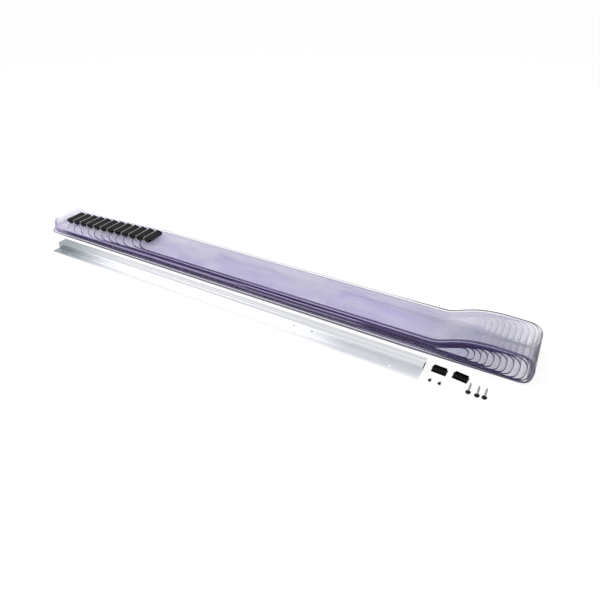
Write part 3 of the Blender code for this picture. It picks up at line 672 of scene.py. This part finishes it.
def cut_away(item, cutter):
    """Takes the cutter's shape out of the item's mesh, and removes the cutter."""
    bpy.context.view_layer.update()
    cut = item.modifiers.new("cut", "BOOLEAN")
    cut.operation = "DIFFERENCE"
    cut.solver = "EXACT"
    cut.object = cutter
    evaluated = item.evaluated_get(bpy.context.evaluated_depsgraph_get())
    mesh = bpy.data.meshes.new_from_object(evaluated)
    item.modifiers.clear()
    old = item.data
    item.data = mesh
    bpy.data.meshes.remove(old)
    bpy.data.objects.remove(cutter, do_unlink=True)


def cut_stud_holes(strip, level):
    foot = hanger_point(level, 0.0, 0.0)
    middle = PACK_FRONT_Y + STRIP_WIDTH / 2 + HANGER_SIDE_SHIFT
    stud_x = -(HANGER_HEIGHT - HANGER_END_WALL) / 2
    for side in (-1, 1):
        bm = bmesh.new()
        bmesh.ops.create_cone(bm, cap_ends=True, segments=24, radius1=STUD_HOLE_RADIUS,
                              radius2=STUD_HOLE_RADIUS, depth=HANGER_THICKNESS)
        cutter = add_mesh("stud_hole", bm, ())
        cutter.matrix_world = (
            Matrix.Translation((PACK_X + foot[0], middle + side * STUD_SPACING / 2, foot[1]))
            @ Matrix.Rotation(HANGER_TILT, 4, "Y")
            @ Matrix.Translation((stud_x, 0.0, HANGER_THICKNESS / 2))
        )
        cut_away(strip, cutter)


# Screws: threads, a domed washer head and a cross recess

PAINTED_HIGHLIGHT_WASHER = 1               # material slots of a screw, after the shank's: painted highlight on the washer, painted dark reflection and shade on the crown and recess
PAINTED_DARK_CROWN = 2


def thread_shape(phase):
    """Height of the thread's crest, 0 to 1, at a share of one turn."""
    return max(0.0, 1 - abs(phase - 0.5) / 0.28)


def make_screw(node, size, materials):
    """A turned screw with a helical thread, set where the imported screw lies: its tip and axis come from the
    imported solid."""
    vertices = np.array([v.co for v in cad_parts[node].data.vertices])
    tip, heading = screw_axis(vertices)
    bm = bmesh.new()
    sides = size["sides"]
    rows = []
    z = 0.0
    step = size["pitch"] / 8
    start = size["point"] * 0.12
    thread_end = size["length"] - size["pitch"] * size["plain_turns"]
    while z < thread_end:
        grown = min(1.0, z / size["point"])
        root = size["root"] * (grown if z > start else start / size["point"])
        crest = size["crest"] * min(1.0, 0.25 + 0.75 * grown)
        fade = min(1.0, (thread_end - z) / (size["pitch"] * 0.8))
        ring = []
        for side in range(sides):
            turn = side / sides
            phase = (z / size["pitch"] - turn) % 1.0
            radius = root + max(0.0, crest - root) * thread_shape(phase) * fade
            ring.append((radius, 2 * math.pi * turn, z))
        rows.append(ring)
        z += step
    for radius, height in head_profile(size):
        rows.append([(radius, 2 * math.pi * side / sides, height) for side in range(sides)])
    rings = [[bm.verts.new((r * math.cos(a), r * math.sin(a), h)) for r, a, h in ring] for ring in rows]
    for first, second in zip(rings, rings[1:]):
        for i in range(sides):
            face = bm.faces.new((first[i], first[(i + 1) % sides], second[(i + 1) % sides], second[i]))
            face.smooth = True
            middle = face.calc_center_median()
            # crown faces get the painted dark reflection, washer faces the painted highlight
            if middle.z > size["length"] + size["washer"]:
                face.material_index = PAINTED_DARK_CROWN
            elif middle.z > size["length"] - 0.1 * MM:
                face.material_index = PAINTED_HIGHLIGHT_WASHER
    low = bm.verts.new((0.0, 0.0, -start * 0.4))
    top = bm.verts.new((0.0, 0.0, size["length"] + size["head"]))
    for i in range(sides):
        bm.faces.new((low, rings[0][(i + 1) % sides], rings[0][i])).smooth = True
        crown = bm.faces.new((top, rings[-1][i], rings[-1][(i + 1) % sides]))
        crown.smooth = True
        crown.material_index = PAINTED_DARK_CROWN
    bmesh.ops.recalc_face_normals(bm, faces=bm.faces[:])
    screw = add_mesh("turned_" + node, bm, materials)
    cut_recess(screw, size)
    # the recess and crown take the painted dark reflection and shade
    for polygon in screw.data.polygons:
        if polygon.center.z > size["length"] + 1.2 * size["washer"]:
            polygon.material_index = PAINTED_DARK_CROWN
    turn = heading.to_track_quat("Z", "X").to_matrix().to_4x4()
    screw.data.transform(Matrix.Translation(tip) @ turn)
    return screw


def screw_axis(vertices):
    """Tip and direction of a packed screw, from its vertices."""
    centre = vertices.mean(axis=0)
    spread = np.linalg.svd(vertices - centre)[2][0]
    if spread[1] > 0:
        spread = -spread
    along = (vertices - centre) @ spread
    tip = vertices[along.argmin()]
    crown = vertices[along > along.max() - 0.3 * MM].mean(axis=0)
    heading = Vector(crown - tip).normalized()
    return Vector(tip), heading


def head_profile(size):
    """Radius and height from under the head, over the washer rim and the dome, nearly to the crown."""
    seat = size["length"]
    rim = size["rim"]
    thick = size["washer"]
    profile = [(size["root"], seat - size["pitch"] * 0.4), (size["root"], seat - 0.3 * MM),
               (size["root"] + 0.3 * MM, seat), (rim - 0.25 * MM, seat), (rim, seat + 0.25 * thick),
               (rim, seat + 0.6 * thick), (rim - 0.3 * MM, seat + thick),
               (size["dome"] + 0.35 * MM, seat + thick), (size["dome"], seat + thick + 0.3 * MM)]
    rise = size["head"] - thick - 0.3 * MM
    for step in range(1, 9):
        angle = math.radians(90.0) * step / 9
        profile.append((size["dome"] * math.cos(angle), seat + thick + 0.3 * MM + rise * math.sin(angle)))
    return profile


def cut_recess(screw, size):
    """Cross recess with tapered wings."""
    top = size["length"] + size["head"]
    for turn in (0.0, math.radians(90.0)):
        bm = bmesh.new()
        bmesh.ops.create_cube(bm, size=1.0)
        for vert in bm.verts:
            upper = vert.co.z > 0
            reach = size["recess"] * (1.0 if upper else 0.45)
            width = size["recess"] * (0.27 if upper else 0.16)
            vert.co = (math.copysign(reach, vert.co.x), math.copysign(width, vert.co.y),
                       top + 1.0 * MM if upper else top - size["recess_depth"])
        bmesh.ops.rotate(bm, verts=bm.verts[:], matrix=Matrix.Rotation(turn, 3, "Z"))
        cut_away(screw, add_mesh("recess", bm, ()))


SMALL_SCREW = {"length": 12.4 * MM, "root": 1.35 * MM, "crest": 1.8 * MM, "pitch": 1.25 * MM,
               "point": 2.6 * MM, "plain_turns": 0.6, "rim": 3.9 * MM, "washer": 0.8 * MM,
               "dome": 3.3 * MM, "head": 2.6 * MM, "recess": 2.0 * MM, "recess_depth": 1.2 * MM,
               "sides": 32}
WALL_SCREW = {"length": 38.5 * MM, "root": 1.75 * MM, "crest": 2.4 * MM, "pitch": 2.3 * MM,
              "point": 8.5 * MM, "plain_turns": 0.8, "rim": 5.8 * MM, "washer": 1.2 * MM,
              "dome": 4.4 * MM, "head": 5.0 * MM, "recess": 2.7 * MM, "recess_depth": 2.6 * MM,
              "sides": 36}


# CAD nodes that stay: a new material and softened edges

def dress(node, material, width=0.0):
    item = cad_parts[node]
    for slot in item.material_slots:
        slot.material = material
    if width:
        bevel = item.modifiers.new("softened", "BEVEL")
        bevel.width = width
        bevel.segments = 2
        bevel.limit_method = "ANGLE"
        bevel.angle_limit = math.radians(28.0)
        bevel.harden_normals = True


# Stage

ROOM_LIGHT = 0.62
FLOOR_SHADE = (0.3, 0.3, 0.3, 1.0)
FLOOR_GLOW = 0.8
FLOOR_SIZE = 20.0
FLOOR_GAP = 0.4 * MM


def seen_directly(nodes, links):
    """1 for rays from the camera, a reflection or glass, and 0 for the light that falls on things."""
    path = nodes.new("ShaderNodeLightPath")
    either = math_node(nodes, links, "MAXIMUM", path.outputs["Is Camera Ray"], path.outputs["Is Glossy Ray"])
    return math_node(nodes, links, "MAXIMUM", either, path.outputs["Is Transmission Ray"])


def floor_material():
    material, nodes, links, output = node_material("pale_floor")
    diffuse = nodes.new("ShaderNodeBsdfDiffuse")
    diffuse.inputs["Color"].default_value = FLOOR_SHADE
    glow = nodes.new("ShaderNodeEmission")
    strength = math_node(nodes, links, "MULTIPLY", seen_directly(nodes, links), FLOOR_GLOW)
    links.new(strength, glow.inputs["Strength"])
    total = nodes.new("ShaderNodeAddShader")
    links.new(diffuse.outputs["BSDF"], total.inputs[0])
    links.new(glow.outputs["Emission"], total.inputs[1])
    links.new(total.outputs["Shader"], output.inputs["Surface"])
    return material


def make_floor():
    bm = bmesh.new()
    bmesh.ops.create_grid(bm, x_segments=1, y_segments=1, size=FLOOR_SIZE)
    floor = add_mesh("floor", bm, (floor_material(),))
    floor.location = (0.0, 0.0, -FLOOR_GAP)


def make_world():
    """White room with soft light."""
    world = bpy.data.worlds.new("studio")
    bpy.context.scene.world = world
    world.use_nodes = True
    nodes = world.node_tree.nodes
    links = world.node_tree.links
    nodes.clear()
    output = nodes.new("ShaderNodeOutputWorld")
    background = nodes.new("ShaderNodeBackground")
    background.inputs["Color"].default_value = (1.0, 1.0, 1.0, 1.0)
    strength = remap(nodes, links, seen_directly(nodes, links), 0.0, 1.0, ROOM_LIGHT, 1.0)
    links.new(strength, background.inputs["Strength"])
    links.new(background.outputs["Background"], output.inputs["Surface"])


def make_lamp(name, place, target, size, power):
    data = bpy.data.lights.new(name, "AREA")
    data.shape = "DISK"
    data.size = size
    data.energy = power
    lamp = bpy.data.objects.new(name, data)
    bpy.context.scene.collection.objects.link(lamp)
    lamp.location = place
    lamp.rotation_euler = (Vector(target) - Vector(place)).to_track_quat("-Z", "Y").to_euler()


# Camera fitted to the photograph
CAMERA_PLACE = (0.7152, -0.8855, 0.7462)
CAMERA_TURN = 33.51
CAMERA_TILT = 52.88
CAMERA_ROLL = -1.83
LENS = 28.627
LENS_SHIFT = (0.09305, 0.04588)
SENSOR_WIDTH = 36.0


def make_camera():
    data = bpy.data.cameras.new("camera")
    data.sensor_width = SENSOR_WIDTH
    data.lens = LENS
    data.shift_x, data.shift_y = LENS_SHIFT
    data.clip_start = 0.01
    camera = bpy.data.objects.new("camera", data)
    bpy.context.scene.collection.objects.link(camera)
    camera.matrix_world = (
        Matrix.Translation(CAMERA_PLACE)
        @ Matrix.Rotation(math.radians(CAMERA_TURN), 4, "Z")
        @ Matrix.Rotation(math.radians(CAMERA_TILT), 4, "X")
        @ Matrix.Rotation(math.radians(CAMERA_ROLL), 4, "Z")
    )
    bpy.context.scene.camera = camera


# Build the scene

film = clear_pvc_material()
front_edge = front_edge_material()
front_rim = front_rim_material("pvc_front_rim", 0.95)
outer_rim = front_rim_material("pvc_outer_front_rim", 0.6)
inner_back = back_edge_material("pvc_back_edge", 0.06, 0.08)
group_back = back_edge_material("pvc_group_back_edge", 0.3, 0.1)
outer_back = back_edge_material("pvc_outer_back_edge", 0.12, 0.6)
back_face = back_face_material()
hanger_black = moulding_material("hanger_moulding", (0.004, 0.0042, 0.004), edge_highlight=True)
cap_black = moulding_material("cap_moulding", (0.002, 0.002, 0.0022))
aluminium = aluminium_material()
zinc = zinc_material("zinc_plated_steel", (0.2, 0.2, 0.2), (0.5, 0.5, 0.5), 0.16)
# lighter and darker copies of the zinc: painted highlight on the washer, painted dark reflection on the crown
zinc_painted_highlight = zinc_material("zinc_rim_painted_highlight", (0.45, 0.45, 0.45), (0.75, 0.75, 0.75), 0.12)
zinc_painted_dark = zinc_material("zinc_head_painted_dark", (0.008, 0.008, 0.008), (0.03, 0.03, 0.03), 0.12)

for level in range(STRIP_COUNT):
    number = level + 1
    if level > OUTERMOST - OUTER_STRIPS:
        back = outer_back
    elif level == OUTERMOST - OUTER_STRIPS:
        back = group_back
    else:
        back = inner_back
    back_cut = outer_back if back is outer_back else back_face
    front = outer_rim if level == OUTERMOST else front_rim
    sheet = make_strip(level, (film, front, back, front_edge, back_cut, front_edge))
    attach(sheet, "strip_body_%02d" % number)
    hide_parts("strip_%02d" % number)
    dress("hanger_%02d_base" % number, hanger_black, 0.25 * MM)
    dress("hanger_%02d_cover" % number, hanger_black, 0.25 * MM)

dress("mounting_rail", aluminium, 0.15 * MM)
for number in (1, 2):
    dress("end_cap_%d" % number, cap_black, 0.25 * MM)
for kind, count, size in (("small_screw", 2, SMALL_SCREW), ("wall_screw", 3, WALL_SCREW)):
    for number in range(1, count + 1):
        node = "%s_%d" % (kind, number)
        screw = make_screw(node, size, (zinc, zinc_painted_highlight, zinc_painted_dark))
        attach(screw, "%s_body_%d" % (kind, number))
        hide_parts(node)

make_floor()
make_world()
make_lamp("key_softbox", (-1.5, -1.0, 2.4), (0.0, 0.1, 0.0), 1.6, 32.0)
make_lamp("fill_softbox", (1.4, 1.2, 2.4), (0.2, 0.1, 0.0), 1.8, 10.0)
make_camera()

scene = bpy.context.scene
scene.view_settings.view_transform = "Standard"
scene.cycles.max_bounces = 24
scene.cycles.transparent_max_bounces = 96
scene.cycles.glossy_bounces = 8
scene.cycles.diffuse_bounces = 4
